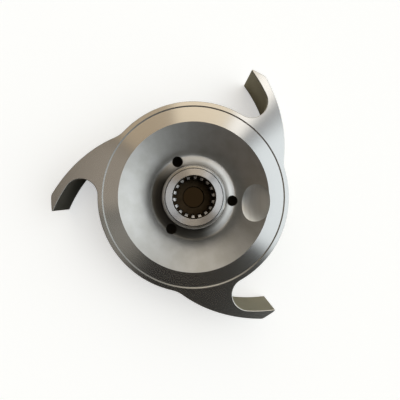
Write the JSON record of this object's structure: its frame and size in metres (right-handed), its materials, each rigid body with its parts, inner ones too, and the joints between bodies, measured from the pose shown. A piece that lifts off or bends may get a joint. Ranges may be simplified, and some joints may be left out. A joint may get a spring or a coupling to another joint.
{
  "type": "semi-open water pump impeller",
  "caption": "Semi-open centrifugal pump impeller: a dished steel back plate with curved scythe vanes and a splined hub.",
  "frame": {"origin": "on the shaft axis, in the plane of the hub's back face, where the impeller meets the shaft's shoulder", "axes": "+Z along the shaft axis towards the motor, the back of the impeller; a vane tip lies 66.7 degrees from +X"},
  "size_m": [0.1451, 0.1547, 0.03],
  "materials": {
    "cast_stainless": "investment cast and blasted, with the ring, the rim and the arms turned",
    "machined_stainless": "turned and broached"
  },
  "bodies": {
    "root": {"impeller_casting": "cast_stainless", "spline_sleeve": "machined_stainless"}
  },
  "joints": []
}
